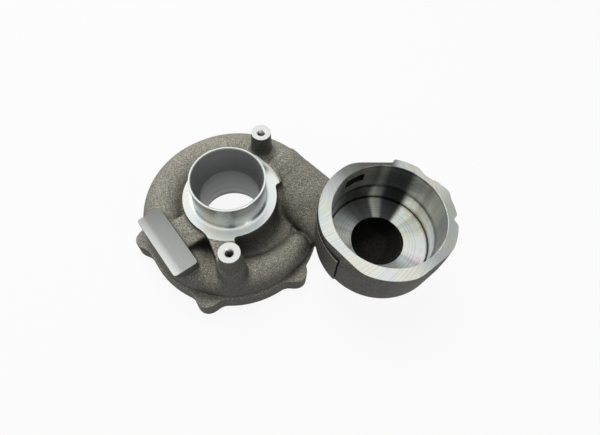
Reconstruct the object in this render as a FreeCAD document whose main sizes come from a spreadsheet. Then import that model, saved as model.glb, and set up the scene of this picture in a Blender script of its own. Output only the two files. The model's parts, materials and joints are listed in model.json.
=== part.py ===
import FreeCAD, Part

import math
import os

# Compressor housing of a turbocharger: one aluminium casting, machined where it seals and fastens.
# Frame: origin on the inlet axis in the plane of the back flange, +Z out of the inlet, +X towards
# the axis of the outlet cup. Millimetres and degrees.

SIZES = [
    ("flange_radius", 64.0, "round back flange"),
    ("flange_height", 14.0, "flange thickness at its edge"),
    ("skirt_radius", 62.2, "outer wall of the scroll where it stands on the flange"),
    ("skirt_height", 19.5, "height to which the scroll's outer wall is upright"),
    ("skirt_draft", 1.0, "how much the upright wall leans in"),
    ("bolt_circle_radius", 64.0, "radius of the circle of flange screws"),
    ("hidden_circle_radius", 59.4, "radius of the two flange screws that the scroll hides"),
    ("lug_radius", 7.4, "tip of a flange lug"),
    ("lug_blend", 7.0, "hollow blend from lug to flange edge"),
    ("screw_hole_radius", 2.55, "tapped hole for an M6 flange screw"),
    ("screw_hole_depth", 11.0, "depth of the blind flange holes"),
    ("register_radius", 55.0, "bore that centres the back plate"),
    ("register_depth", 5.0, "depth of that bore"),
    ("slot_outer_radius", 51.5, "outer edge of the gap into the scroll"),
    ("diffuser_radius", 44.0, "outer edge of the diffuser wall"),
    ("diffuser_depth", 8.0, "diffuser wall below the flange plane"),
    ("wheel_tip_radius", 27.0, "shroud radius at the wheel's outlet"),
    ("throat_radius", 20.3, "bore round the wheel's inlet"),
    ("shroud_height", 20.0, "height at which the shroud curve ends"),
    ("inlet_step_height", 44.0, "height of the step in the inlet bore"),
    ("inlet_step_cone", 7.0, "height of the cone at that step"),
    ("inlet_bore_radius", 23.4, "bore of the inlet tube"),
    ("inlet_tube_radius", 25.0, "outside of the inlet tube"),
    ("inlet_tube_height", 66.3, "rim of the inlet tube"),
    ("seat_height", 44.7, "turned seat ring round the tube"),
    ("seat_radius", 32.0, "outside of the cast ring under that seat"),
    ("seat_cut_radius", 35.6, "reach of the tool that faces the seat"),
    ("tube_root_blend", 2.6, "hollow blend at the root of the tube"),
    ("hub_rim_height", 36.0, "height where the hub's flank leaves the ring"),
    ("hub_foot_radius", 43.0, "foot of the hub's flank"),
    ("hub_foot_height", 20.5, "height of that foot"),
    ("scroll_start_angle", -14.0, "direction of the scroll's tongue"),
    ("scroll_end_angle", -301.0, "direction of the scroll's outlet section"),
    ("scroll_outer_radius", 62.4, "outermost reach of the scroll, small end"),
    ("scroll_end_growth", 3.4, "extra reach at the outlet section"),
    ("scroll_floor", 12.0, "lowest point of the scroll passage"),
    ("slot_overlap", 2.6, "how far the gap reaches into the scroll passage"),
    ("passage_start_radius", 5.6, "scroll passage at the tongue"),
    ("passage_end_radius", 15.8, "scroll passage at its outlet section"),
    ("wall", 4.0, "cast wall of scroll and duct"),
    ("duct_half_height", 5.0, "pull on the duct's half height on its way"),
    ("duct_half_width", 24.0, "pull on the duct's half width on its way"),
    ("duct_overrun", 1.0, "how far the cast passage runs on above that floor"),
    ("duct_lead_out", 28.0, "length over which the duct keeps the scroll's direction"),
    ("duct_lead_up", 32.0, "length over which the duct rises into the cup"),
    ("cup_x", 105.7, "distance of the cup's axis from the inlet axis"),
    ("cup_rim_height", 70.0, "machined rim of the outlet cup"),
    ("cup_bore_radius", 36.3, "main bore of the cup"),
    ("cup_bore_depth", 23.6, "depth of the main bore"),
    ("cup_step_radius", 35.3, "second bore of the cup"),
    ("cup_step_depth", 36.6, "depth of the second bore"),
    ("cup_floor_radius", 34.2, "floor of the cup"),
    ("cup_floor_depth", 38.2, "depth of the cup's floor at the hole"),
    ("cup_hole_radius", 18.4, "hole in the cup's floor"),
    ("cup_outer_radius", 43.6, "outside of the cup at the rim"),
    ("cup_outer_shift_x", -0.8, "offset of the outside from the bore, along X"),
    ("cup_outer_shift_y", -1.2, "offset of the outside from the bore, along Y"),
    ("cup_body_height", 36.0, "height of the cup's outer wall"),
    ("cup_body_draft", 3.4, "draft of the cup's outer wall, degrees"),
    ("cup_base_blend", 6.0, "rounded lower edge of the cup"),
    ("cup_flat_reach", 39.0, "distance of the flat side from the cup's axis"),
    ("cup_flat_angle", 104.0, "direction of the flat side"),
    ("cup_chamfer", 0.7, "lead-in chamfer of the cup's bore"),
    ("saddle_height", 6.0, "drop from the rim to the top of the thick wall beside the duct"),
    ("saddle_step", 1.8, "how proud that thick wall stands"),
    ("saddle_start_angle", -200.0, "direction where that thick wall begins"),
    ("saddle_sweep", 77.0, "angle that it takes up"),
    ("cup_facet_reach", 39.2, "distance of the small facet beside the flat side"),
    ("cup_facet_angle", 64.0, "direction of that facet"),
    ("ear_reach", 38.4, "distance of the small ear's middle from the cup's axis"),
    ("ear_radius", 6.2, "small ear on the cup's rim"),
    ("ear_angle", 38.0, "direction of the ear"),
    ("notch_depth", 3.4, "notch in the cup's outside"),
    ("notch_angle", 9.5, "direction of the notch"),
    ("clip_drop", 12.5, "distance of the clip windows below the rim"),
    ("clip_height", 4.4, "height of a clip window"),
    ("clip_width", 15.0, "width of a clip window"),
    ("clip_depth", 2.2, "depth of a clip window in the bore's wall"),
    ("post_radius", 6.75, "top of a threaded post"),
    ("post_height", 65.0, "machined top of the posts"),
    ("post_draft", 0.052, "growth of a post's radius per millimetre down"),
    ("post_hole_radius", 2.55, "tapped hole for an M6 screw"),
    ("post_hole_depth", 16.0, "depth of the tapped holes in the posts"),
    ("post_chamfer", 0.8, "countersink of those holes"),
    ("post_north_x", 10.1, "far post"),
    ("post_north_y", 42.9, "far post"),
    ("post_south_x", 17.3, "near post"),
    ("post_south_y", -49.2, "near post"),
    ("web_width", 15.0, "web between near post and seat ring"),
    ("pad_length", 48.6, "machined rectangular pad"),
    ("pad_width", 16.6, "machined rectangular pad"),
    ("pad_height", 45.0, "machined rectangular pad"),
    ("pad_x", -28.0, "middle of the pad"),
    ("pad_y", -43.8, "middle of the pad"),
    ("pad_angle", -38.6, "direction of the pad's long side"),
    ("pad_depth", 6.0, "upright part of the pad's block"),
    ("pad_foot_shrink", 9.0, "how far the block's foot draws in"),
    ("bridge_from", -13.5, "start of the raised bridge from pad to ring, along the pad"),
    ("bridge_to", 10.0, "end of that bridge, along the pad"),
    ("bridge_reach", 24.0, "length of the bridge across the pad"),
    ("bridge_height", 41.5, "top of the bridge"),
]

# The lugs stand where the scroll leaves the flange's edge free; the last two hide under the scroll.
LUG_ANGLES = {"east": -28.2, "south": -88.2, "west": -148.3}
HIDDEN_SCREW_ANGLES = {"north": 84.0, "north_west": 147.0}

CLIP_ANGLES = {"upper": 135.0, "lower": -33.0}

# Sections along scroll and duct, corners in a section, and the share of the scroll before its reach grows.
SCROLL_STATIONS = 21
DUCT_STATIONS = 8
SIDES = 20
GROWTH_START = 0.75

doc = FreeCAD.newDocument("compressor_housing")
sheet = doc.addObject("Spreadsheet::Sheet", "sizes")
for row, (alias, value, note) in enumerate(SIZES, start=1):
    sheet.set("A%d" % row, alias)
    sheet.set("B%d" % row, str(value))
    sheet.set("C%d" % row, note)
    sheet.setAlias("B%d" % row, alias)
doc.recompute()


def size(alias):
    return float(sheet.get(alias))


def bind(thing, **expressions):
    for name, expression in expressions.items():
        thing.setExpression(name, expression)


def frame_at(x, y, z, angle=0.0):
    return FreeCAD.Placement(FreeCAD.Vector(x, y, z), FreeCAD.Rotation(FreeCAD.Vector(0, 0, 1), angle))


def cylinder(name, radius, height, x="0", y="0", z="0"):
    solid = doc.addObject("Part::Cylinder", name)
    bind(solid, Radius=radius, Height=height)
    solid.setExpression("Placement.Base.x", x)
    solid.setExpression("Placement.Base.y", y)
    solid.setExpression("Placement.Base.z", z)
    return solid


def cone(name, bottom, top, height, x="0", y="0", z="0"):
    solid = doc.addObject("Part::Cone", name)
    bind(solid, Radius1=bottom, Radius2=top, Height=height)
    solid.setExpression("Placement.Base.x", x)
    solid.setExpression("Placement.Base.y", y)
    solid.setExpression("Placement.Base.z", z)
    return solid


def fuse(name, parts):
    joined = doc.addObject("Part::MultiFuse", name)
    joined.Shapes = parts
    return joined


def cut(name, base, tool):
    result = doc.addObject("Part::Cut", name)
    result.Base = base
    result.Tool = tool
    return result


def revolved(name, corners):
    """A solid turned about the Z axis from the (r, z) corners of its closed outline."""
    profile = doc.addObject("Part::Feature", name + "_profile")
    profile.Shape = Part.Face(Part.makePolygon([FreeCAD.Vector(r, 0, z) for r, z in corners + corners[:1]]))
    turned = doc.addObject("Part::Revolution", name)
    turned.Source = profile
    turned.Axis = FreeCAD.Vector(0, 0, 1)
    turned.Base = FreeCAD.Vector(0, 0, 0)
    turned.Angle = 360
    turned.Solid = True
    return turned


def bend(start, pull, end, steps=3):
    """Points of a curve from start to end that leaves and arrives towards pull, in straight stretches."""
    shares = [step / steps for step in range(steps + 1)]
    return [tuple(a * (1 - s) ** 2 + c * 2 * s * (1 - s) + b * s ** 2 for a, b, c in zip(start, end, pull)) for s in shares]


# Sections of scroll and duct are closed outlines of SIDES straight edges on an ellipse, each corner
# pushed out a little so that the section keeps the ellipse's area.
def oval(name, centre, outward, upward, width, height):
    step = 2 * math.pi / SIDES
    spread = math.sqrt(step / math.sin(step))
    corners = []
    for corner in range(SIDES + 1):
        turn = corner % SIDES * step
        corners.append(centre + outward * (width * spread * math.cos(turn)) + upward * (height * spread * math.sin(turn)))
    section = doc.addObject("Part::Feature", name)
    section.Shape = Part.makePolygon(corners)
    return section


# The scroll's passage grows in area in step with the angle from the tongue.
def scroll_section(station, kind, growth):
    share = station / (SCROLL_STATIONS - 1)
    angle = math.radians(size("scroll_start_angle") * (1 - share) + size("scroll_end_angle") * share)
    start, end = size("passage_start_radius"), size("passage_end_radius")
    radius = math.sqrt(start ** 2 + (end ** 2 - start ** 2) * share)
    late = max(0.0, (share - GROWTH_START) / (1 - GROWTH_START))
    reach = size("scroll_outer_radius") + size("scroll_end_growth") * late
    outward = FreeCAD.Vector(math.cos(angle), math.sin(angle), 0)
    upward = FreeCAD.Vector(0, 0, 1)
    centre = outward * (reach - size("wall") - radius) + upward * (size("scroll_floor") + radius)
    return oval("%s_scroll_%d" % (kind, station), centre, outward, upward, radius + growth, radius + growth)


# The duct leaves the scroll along its tangent, sinks below the cup and turns up into the cup's floor.
# Its middle line is one cubic curve; its section flattens on the way so that it passes under the cup.
def duct_middle(share):
    angle = math.radians(size("scroll_end_angle"))
    outward = FreeCAD.Vector(math.cos(angle), math.sin(angle), 0)
    up = FreeCAD.Vector(0, 0, 1)
    along = outward.cross(up)
    end = size("passage_end_radius")
    reach = size("scroll_outer_radius") + size("scroll_end_growth")
    start = outward * (reach - size("wall") - end) + up * (size("scroll_floor") + end)
    mouth_z = size("cup_rim_height") - size("cup_floor_depth") + size("duct_overrun")
    mouth = FreeCAD.Vector(size("cup_x"), 0, mouth_z)
    handles = [start, start + along * size("duct_lead_out"), mouth - up * size("duct_lead_up"), mouth]
    rest = 1 - share
    weights = [rest ** 3, 3 * rest ** 2 * share, 3 * rest * share ** 2, share ** 3]
    slopes = [-3 * rest ** 2, 3 * rest ** 2 - 6 * rest * share, 6 * rest * share - 3 * share ** 2, 3 * share ** 2]
    centre = FreeCAD.Vector(0, 0, 0)
    tangent = FreeCAD.Vector(0, 0, 0)
    for handle, weight, slope in zip(handles, weights, slopes):
        centre += handle * weight
        tangent += handle * slope
    tangent.normalize()
    sideways = outward - tangent * outward.dot(tangent)
    sideways.normalize()
    return centre, sideways, tangent.cross(sideways)


def blended(first, middle, last, share):
    rest = 1 - share
    return first * rest ** 2 + middle * 2 * rest * share + last * share ** 2


def duct_section(station, kind, growth):
    share = station / (DUCT_STATIONS - 1)
    centre, sideways, upward = duct_middle(share)
    start, mouth = size("passage_end_radius"), size("cup_hole_radius")
    width = blended(start, size("duct_half_width"), mouth, share)
    height = blended(start, size("duct_half_height"), mouth, share)
    return oval("%s_duct_%d" % (kind, station), centre, sideways, upward, width + growth, height + growth)


def loft(name, sections):
    body = doc.addObject("Part::Loft", name)
    body.Sections = sections
    body.Solid = True
    body.Ruled = True
    return body


def volute(kind, growth):
    """Scroll and duct in one run, grown all round."""
    scroll = [scroll_section(station, kind, growth) for station in range(SCROLL_STATIONS)]
    duct = [duct_section(station, kind, growth) for station in range(1, DUCT_STATIONS)]
    return loft("volute_" + kind, scroll + duct)


shell = volute("shell", size("wall"))
passage = volute("passage", 0)


# Back flange: a disc with lugs, each lug blended into the disc's edge by two hollow arcs.
def lug_outline():
    disc, tip, blend = size("flange_radius"), size("lug_radius"), size("lug_blend")
    reach = size("bolt_circle_radius")
    far, near = disc + blend, tip + blend
    turn = math.acos((far ** 2 + reach ** 2 - near ** 2) / (2 * far * reach))
    hollow = FreeCAD.Vector(far * math.cos(turn), far * math.sin(turn), 0)
    lug = FreeCAD.Vector(reach, 0, 0)
    on_disc = hollow * (disc / far)
    on_lug = lug + (hollow - lug) * (tip / near)
    bottom = hollow + ((on_disc - hollow) + (on_lug - hollow)).normalize() * blend
    inside = FreeCAD.Vector(size("register_radius"), on_disc.y, 0)
    corners = (on_disc, bottom, on_lug, inside)
    low_disc, low_bottom, low_lug, low_inside = [FreeCAD.Vector(v.x, -v.y, 0) for v in corners]
    return [
        Part.Arc(on_disc, bottom, on_lug).toShape(),
        Part.Arc(on_lug, lug + FreeCAD.Vector(tip, 0, 0), low_lug).toShape(),
        Part.Arc(low_lug, low_bottom, low_disc).toShape(),
        Part.makeLine(low_disc, low_inside),
        Part.makeLine(low_inside, inside),
        Part.makeLine(inside, on_disc),
    ]


def upright(name, edges, height, placement):
    """A solid raised along Z from a closed outline of flat edges."""
    profile = doc.addObject("Part::Feature", name + "_profile")
    profile.Shape = Part.Face(Part.Wire(edges))
    profile.Placement = placement
    raised = doc.addObject("Part::Extrusion", name)
    raised.Base = profile
    raised.DirMode = "Custom"
    raised.Dir = FreeCAD.Vector(0, 0, 1)
    raised.Solid = True
    bind(raised, LengthFwd=height)
    return raised


def ringed(radius, angle):
    """Expressions for the place at an angle on a circle round the inlet axis."""
    turn = math.radians(angle)
    return "%s * %.6f" % (radius, math.cos(turn)), "%s * %.6f" % (radius, math.sin(turn))


flange = [cylinder("flange_disc", "sizes.flange_radius", "sizes.flange_height")]
screw_holes = []
for side, angle in LUG_ANGLES.items():
    flange.append(upright("lug_" + side, lug_outline(), "sizes.flange_height", frame_at(0, 0, 0, angle)))
    x, y = ringed("sizes.bolt_circle_radius", angle)
    screw_holes.append(cylinder("screw_hole_" + side, "sizes.screw_hole_radius", "sizes.screw_hole_depth", x, y))
for side, angle in HIDDEN_SCREW_ANGLES.items():
    x, y = ringed("sizes.hidden_circle_radius", angle)
    screw_holes.append(cylinder("screw_hole_" + side, "sizes.screw_hole_radius", "sizes.screw_hole_depth", x, y))
skirt = cone("skirt", "sizes.skirt_radius", "sizes.skirt_radius - sizes.skirt_draft", "sizes.skirt_height")


# Hub: the disc that closes the scroll, its hollow flank, the cast ring and the inlet tube.
def hub_outline():
    seat, seat_z, tube, top = size("seat_radius"), size("seat_height"), size("inlet_tube_radius"), size("inlet_tube_height")
    foot, foot_z, rim_z = size("hub_foot_radius"), size("hub_foot_height"), size("hub_rim_height")
    root, base = size("tube_root_blend"), size("diffuser_depth")
    flank = bend((foot, foot_z), (seat, foot_z), (seat, rim_z))
    hollow = bend((tube + root, seat_z), (tube, seat_z), (tube, seat_z + root), 2)
    return [(0, top), (0, base), (foot, base)] + flank + [(seat, seat_z)] + hollow + [(tube, top)]


hub = revolved("hub", hub_outline())

# Threaded posts stand on the scroll, with draft down to it, and a web ties the near one to the ring.
posts = []
post_holes = []
for side in ("north", "south"):
    x, y = "sizes.post_%s_x" % side, "sizes.post_%s_y" % side
    rise = "(sizes.post_height - sizes.hub_foot_height)"
    spread = "sizes.post_radius + sizes.post_draft * " + rise
    posts.append(cone("post_" + side, spread, "sizes.post_radius", rise, x, y, "sizes.hub_foot_height"))
    bottom = "sizes.post_height - sizes.post_hole_depth"
    post_holes.append(cylinder("post_hole_" + side, "sizes.post_hole_radius", "sizes.post_hole_depth", x, y, bottom))
    lip = "sizes.post_hole_radius + sizes.post_chamfer"
    sink = "sizes.post_height - sizes.post_chamfer"
    post_holes.append(cone("post_sink_" + side, "sizes.post_hole_radius", lip, "sizes.post_chamfer", x, y, sink))

web = doc.addObject("Part::Box", "post_web")
bind(web, Length="sqrt(sizes.post_south_x^2 + (sizes.post_south_y + sizes.seat_radius)^2)",
     Width="sizes.web_width", Height="sizes.seat_height - sizes.hub_foot_height")
web_angle = math.degrees(math.atan2(size("post_south_y") + size("seat_radius"), size("post_south_x")))
web_side = frame_at(0, -size("web_width") / 2, size("hub_foot_height"))
web.Placement = frame_at(0, -size("seat_radius"), 0, web_angle).multiply(web_side)


# The rectangular pad: an upright block whose foot draws in towards the scroll.
def pad_section(name, height, shrink):
    half, near, far = size("pad_length") / 2 - shrink, shrink - size("pad_width") / 2, size("pad_width") / 2
    corners = [(-half, near), (half, near), (half, far), (-half, far), (-half, near)]
    section = doc.addObject("Part::Feature", name)
    section.Shape = Part.makePolygon([FreeCAD.Vector(x, y, 0) for x, y in corners])
    section.Placement = frame_at(size("pad_x"), size("pad_y"), height, size("pad_angle"))
    return section


pad = loft("pad", [
    pad_section("pad_top", size("pad_height"), 0),
    pad_section("pad_edge", size("pad_height") - size("pad_depth"), 0),
    pad_section("pad_foot", size("flange_height"), size("pad_foot_shrink")),
])


# A raised bridge runs from the pad to the ring.
bridge = doc.addObject("Part::Box", "bridge")
bind(bridge, Length="sizes.bridge_to - sizes.bridge_from", Width="sizes.bridge_reach", Height="sizes.bridge_height - sizes.flange_height")
bridge_start = frame_at(size("bridge_from"), 0, size("flange_height"))
bridge.Placement = frame_at(size("pad_x"), size("pad_y"), 0, size("pad_angle")).multiply(bridge_start)


# Outlet cup: outer wall with draft, a flat side, a small facet, an ear and a notch.
def cup_outline():
    rim, height, blend = size("cup_rim_height"), size("cup_body_height"), size("cup_base_blend")
    edge, edge_z = size("cup_outer_radius") - height * math.tan(math.radians(size("cup_body_draft"))), rim - height
    base = bend((edge - blend, edge_z - blend), (edge, edge_z - blend), (edge, edge_z))
    return [(0, rim), (0, edge_z - blend)] + base + [(size("cup_outer_radius"), rim)]


def saddle_outline():
    lean = math.tan(math.radians(size("cup_body_draft")))
    top, low = size("cup_rim_height") - size("saddle_height"), size("cup_rim_height") - size("cup_body_height")
    outer = size("cup_outer_radius") + size("saddle_step")
    inner = size("cup_step_radius")
    upper, lower = (outer - size("saddle_height") * lean, top), (outer - size("cup_body_height") * lean, low)
    return [(inner, low), lower, upper, (inner, top)]


def slab(name, reach, angle):
    """Stock beyond a flat side of the cup."""
    block = doc.addObject("Part::Box", name)
    bind(block, Length="sizes.cup_outer_radius", Width="sizes.cup_outer_radius * 2", Height="sizes.cup_rim_height")
    shift = frame_at(size("cup_x"), 0, 0, angle)
    block.Placement = shift.multiply(frame_at(size(reach), -size("cup_outer_radius"), 1))
    return block


outer_x, outer_y = size("cup_x") + size("cup_outer_shift_x"), size("cup_outer_shift_y")
cup_round = revolved("cup_round", cup_outline())
cup_round.Placement = frame_at(outer_x, outer_y, 0)
depth, reach = size("notch_depth"), size("cup_outer_radius")
notch_corners = [FreeCAD.Vector(x, y, 0) for x, y in ((reach - depth, 0), (reach, depth), (reach + 1, 0), (reach, -depth))]
notch_edges = [Part.makeLine(a, b) for a, b in zip(notch_corners, notch_corners[1:] + notch_corners[:1])]
notch = upright("notch", notch_edges, "sizes.cup_rim_height + 1", frame_at(size("cup_x"), 0, 0, size("notch_angle")))
trims = fuse("cup_trims", [slab("cup_flat", "cup_flat_reach", size("cup_flat_angle")),
                           slab("cup_facet", "cup_facet_reach", size("cup_facet_angle")), notch])
cup_trimmed = cut("cup_trimmed", cup_round, trims)
ear_turn = math.radians(size("ear_angle"))
ear_x = "sizes.cup_x + sizes.ear_reach * %.6f" % math.cos(ear_turn)
ear_y = "sizes.ear_reach * %.6f" % math.sin(ear_turn)
ear = cone("ear", "sizes.ear_radius * 0.6", "sizes.ear_radius", "sizes.cup_body_height", ear_x, ear_y,
           "sizes.cup_rim_height - sizes.cup_body_height")
saddle = revolved("saddle", saddle_outline())
saddle.Placement = frame_at(outer_x, outer_y, 0, size("saddle_start_angle"))
bind(saddle, Angle="sizes.saddle_sweep")

casting = fuse("casting", flange + [skirt, shell, hub, web, pad, bridge, cup_trimmed, ear, saddle] + posts)


# Machined spaces round the inlet axis: slot into the scroll, diffuser, shroud, throat and tube bore.
def core_outline():
    slot, slot_z = size("slot_outer_radius"), size("scroll_floor") + size("slot_overlap")
    diffuser, face_z, tip = size("diffuser_radius"), size("diffuser_depth"), size("wheel_tip_radius")
    throat, shroud_z, step_z = size("throat_radius"), size("shroud_height"), size("inlet_step_height")
    inlet, top = size("inlet_bore_radius"), size("inlet_tube_height") + 1
    shroud = bend((tip, face_z), (throat, face_z), (throat, shroud_z), 5)
    step_top = step_z + size("inlet_step_cone")
    return (
        [(0, 0), (slot, 0), (slot, slot_z), (diffuser, slot_z), (diffuser, face_z)] + shroud
        + [(throat, step_z), (inlet, step_top), (inlet, top), (0, top)]
    )


def facing_outline():
    near, far = size("inlet_tube_radius") + size("tube_root_blend"), size("seat_cut_radius")
    low, high = size("seat_height"), size("inlet_tube_height")
    return [(near, low), (far, low), (far, high), (near, high)]


core = revolved("core", core_outline())
facing = revolved("facing", facing_outline())
register = cylinder("register_bore", "sizes.register_radius", "sizes.register_depth")

# The cup's stepped bore with its lead-in chamfer, and the clip windows in its wall.
def cup_bore_outline():
    rim, lip = size("cup_rim_height"), size("cup_bore_radius") + size("cup_chamfer")
    bore, step, floor = size("cup_bore_radius"), size("cup_step_radius"), size("cup_floor_radius")
    bore_z, step_z, floor_z = [rim - size("cup_%s_depth" % level) for level in ("bore", "step", "floor")]
    return [
        (0, floor_z), (floor, floor_z), (floor, step_z), (step, step_z), (step, bore_z), (bore, bore_z),
        (bore, rim - size("cup_chamfer")), (lip, rim), (0, rim),
    ]


stepped_bore = revolved("stepped_bore", cup_bore_outline())
stepped_bore.Placement = frame_at(size("cup_x"), 0, 0)
cup_cuts = [stepped_bore]
for side, angle in CLIP_ANGLES.items():
    window = doc.addObject("Part::Box", "clip_" + side)
    bind(window, Length="sizes.cup_bore_radius + sizes.clip_depth", Width="sizes.clip_width", Height="sizes.clip_height")
    clip_z = size("cup_rim_height") - size("clip_drop") - size("clip_height") / 2
    window.Placement = frame_at(size("cup_x"), 0, 0, angle).multiply(frame_at(0, -size("clip_width") / 2, clip_z))
    cup_cuts.append(window)

cored = cut("cored", casting, passage)
turned = cut("turned", cored, fuse("turned_spaces", [core, facing, register]))
bored = cut("bored", turned, fuse("cup_spaces", cup_cuts))
housing = cut("housing", bored, fuse("holes", post_holes + screw_holes))
housing.Label = "compressor_housing"
doc.recompute()

for thing in doc.Objects:
    if "Invalid" in thing.State or "Error" in thing.State:
        raise RuntimeError("%s could not be made: %s" % (thing.Label, thing.State))
if housing.Shape.isNull() or not housing.Shape.isValid():
    raise RuntimeError("%s has no valid shape" % housing.Label)
os.makedirs("parts", exist_ok=True)
housing.Shape.exportStep("parts/%s.step" % housing.Label)
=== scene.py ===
"""Looks of the turbocharger compressor housing.

The cast blank is worked out as a distance field, so that its forms run into each other with the soft
hollows of a sand casting. Everything that is machined on the real part is then cut from that blank
with sharp edges and gets a finish of its own.
"""

import json
import math

import bmesh
import bpy
import numpy as np
from mathutils import Matrix, Vector


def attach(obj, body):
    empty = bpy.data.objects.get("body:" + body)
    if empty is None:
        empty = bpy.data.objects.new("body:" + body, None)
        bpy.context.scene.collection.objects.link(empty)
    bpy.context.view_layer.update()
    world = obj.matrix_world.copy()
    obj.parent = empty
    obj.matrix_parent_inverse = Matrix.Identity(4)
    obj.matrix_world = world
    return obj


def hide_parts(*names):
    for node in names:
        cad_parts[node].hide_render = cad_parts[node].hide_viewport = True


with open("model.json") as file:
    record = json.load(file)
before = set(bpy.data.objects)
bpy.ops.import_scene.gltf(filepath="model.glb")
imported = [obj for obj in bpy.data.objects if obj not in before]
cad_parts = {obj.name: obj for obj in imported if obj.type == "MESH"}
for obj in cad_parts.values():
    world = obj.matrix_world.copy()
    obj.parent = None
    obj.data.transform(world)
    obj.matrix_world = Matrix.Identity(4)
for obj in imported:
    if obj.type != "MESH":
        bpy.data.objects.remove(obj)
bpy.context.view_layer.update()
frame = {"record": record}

MM = 0.001
NODE = "compressor_housing"
MOUNTS = {mount["name"]: mount for mount in frame["record"]["mounts"]}


def place(name):
    """A mount's place in millimetres."""
    return Vector(MOUNTS[name]["pos_m"]) / MM


def radius_of(name):
    """A mount's radius in millimetres."""
    return MOUNTS[name]["dims"]["r_mm"]


# Flange and scroll, in millimetres.
FLANGE_RADIUS, FLANGE_HEIGHT = 63.95, 14.0
LUGS = ("lug_east", "lug_south", "lug_west")
LUG_RADIUS, LUG_BLEND = 7.4, 7.0
SKIRT_RADIUS, SKIRT_DRAFT, SKIRT_HEIGHT = 62.2, 1.0, 19.5
SCROLL_START, SCROLL_END = -14.0, -301.0
SCROLL_REACH, SCROLL_GROWTH, GROWTH_START, SCROLL_FLOOR = 62.4, 3.4, 0.75, 12.0
PASSAGE_START, PASSAGE_END, WALL = 5.6, 15.8, 4.0
SLOT_RADIUS, SLOT_OVERLAP, REGISTER_DEPTH = 51.5, 2.6, 5.0
DIFFUSER_RADIUS, DIFFUSER_DEPTH, WHEEL_TIP, THROAT, SHROUD_HEIGHT = 44.0, 8.0, 27.0, 20.3, 20.0
SHROUD_PULL, SHROUD_STEPS = (0.4, 1.5), 12

# Inlet tube with its seat.
STEP_HEIGHT, STEP_CONE, TUBE_RADIUS, TUBE_TOP = 44.0, 7.0, 25.0, 66.3
TUBE_ROOT, TUBE_EDGE, ROOT_STEPS = 2.6, 0.3, 8
SEAT_HEIGHT, SEAT_RADIUS, SEAT_CUT, SHOULDER = 44.7, 32.0, 35.6, (33.0, 98.0)
HUB_RIM, HUB_FOOT_RADIUS, HUB_FOOT_HEIGHT = 36.0, 43.0, 20.5

# Duct and outlet cup.
DUCT_HALF_WIDTH, DUCT_HALF_HEIGHT, DUCT_LEAD_OUT, DUCT_LEAD_UP, DUCT_OVERRUN = 24.0, 5.0, 28.0, 32.0, 1.0
CUP_X, CUP_RIM = place("outlet_cup").x, 70.0
CUP_HOLE, CUP_OUTER, CUP_SHIFT = 18.4, 43.6, (-0.8, -1.2)
CUP_LEVELS = ((36.3, 23.6), (35.3, 36.6), (34.2, 38.2))
CUP_HEIGHT, CUP_DRAFT, CUP_BASE_BLEND, CUP_CHAMFER = 36.0, 3.4, 6.0, 0.3
CUP_FLATS, FLAT_FADE = ((41.6, -38.0), (42.5, -123.0)), 0.28
CUP_SIDE, CUP_SIDE_ANGLE, CUP_SIDE_END = 38.8, 106.0, 95.0
SCOOP_REACH, SCOOP_RADIUS, SCOOP_ANGLE = 55.7, 16.0, 60.0
EAR_REACH, EAR_RADIUS, EAR_ANGLE = 37.6, 6.2, 38.0
NOTCH_DEPTH, NOTCH_SLOPE, NOTCH_ANGLE = 3.6, 0.7, 9.5
FLOOR_LINE, MOUTH_DEPTH, MOUTH_RISE = 0.5, 3.0, 2.0
SADDLE_DROP, SADDLE_STEP, SADDLE_FROM, SADDLE_TO = 6.0, 1.1, -200.0, -123.0
GROOVE_BELOW, GROOVE_ABOVE, GROOVE_DEPTH, GROOVE_REACH, GROOVE_STEPS = 0.2, 0.8, 1.4, 8, 40
SLIT_HALF_WIDTH, SLIT_HEIGHT, SLIT_DEPTH, SLIT_REACH = 0.45, 26.0, 2.6, 6.0
CLIP_DROP, CLIP_HEIGHT, CLIP_WIDTH, CLIP_DEPTH, CLIP_INSIDE = 11.0, 7.5, 15.0, 2.6, 6
CLIP_ANGLES = (135.0, -33.0)

# Posts, web, pad and the bridge between pad and ring.
POSTS = ("post_north", "post_south")
POST_RADIUS, POST_TOP, POST_DRAFT, POST_SINK = 6.75, 65.0, 0.052, 0.8
WEB_HALF_WIDTH = 7.5
PAD_LENGTH, PAD_WIDTH, PAD_ANGLE, PAD_DEPTH, PAD_SHRINK = 48.6, 16.6, -38.6, 6.0, 9.0
BRIDGE_FROM, BRIDGE_TO, BRIDGE_REACH, BRIDGE_HEIGHT = -13.5, 10.0, 24.0, 41.5

# Roundings and hollow blends of the cast blank.
FLANGE_EDGE, SHOULDER_EDGE, WEB_EDGE, PAD_EDGE, BRIDGE_EDGE = 1.2, 1.5, 1.0, 2.0, 2.0
FLAT_EDGE, SIDE_EDGE, SCOOP_EDGE, EAR_BLEND, NOTCH_EDGE, SADDLE_EDGE = 1.5, 2.5, 1.0, 2.0, 0.4, 0.8
DUCT_BLEND, SKIRT_BLEND, HUB_BLEND, SHOULDER_BLEND, FLANGE_BLEND = 3.0, 2.0, 5.0, 4.0, 1.0
BRIDGE_BLEND, PAD_BLEND, WEB_BLEND, POST_BLEND, CUP_BLEND = 3.0, 2.5, 3.5, 5.0, 5.0
SHOULDER_SPREAD, SHOULDER_RISE, PAD_SINK = 2.0, 1.5, 3.0

# Stock for machining, how far the cutters reach past it, and small edge breaks.
STOCK, CLEAR, PAST_AXIS, BELOW = 2.0, 9.0, -5, -5
TUBE_BREAK, RIM_CUT_RADIUS, POST_CUT_RADIUS, POST_SEGMENTS, PAD_MARGIN = 0.5, 60, 11, 64, 3
FACING_HALF, FACING_DEPTH = 90, 20
THREAD_UNDERCUT, THREAD_OVERRUN, THREAD_ROWS = 0.1, 1, 6
SINK_TIP, SINK_INSET, SINK_START, SINK_OVERRUN = 1.5, 0.7, 0.6, 0.4

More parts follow.
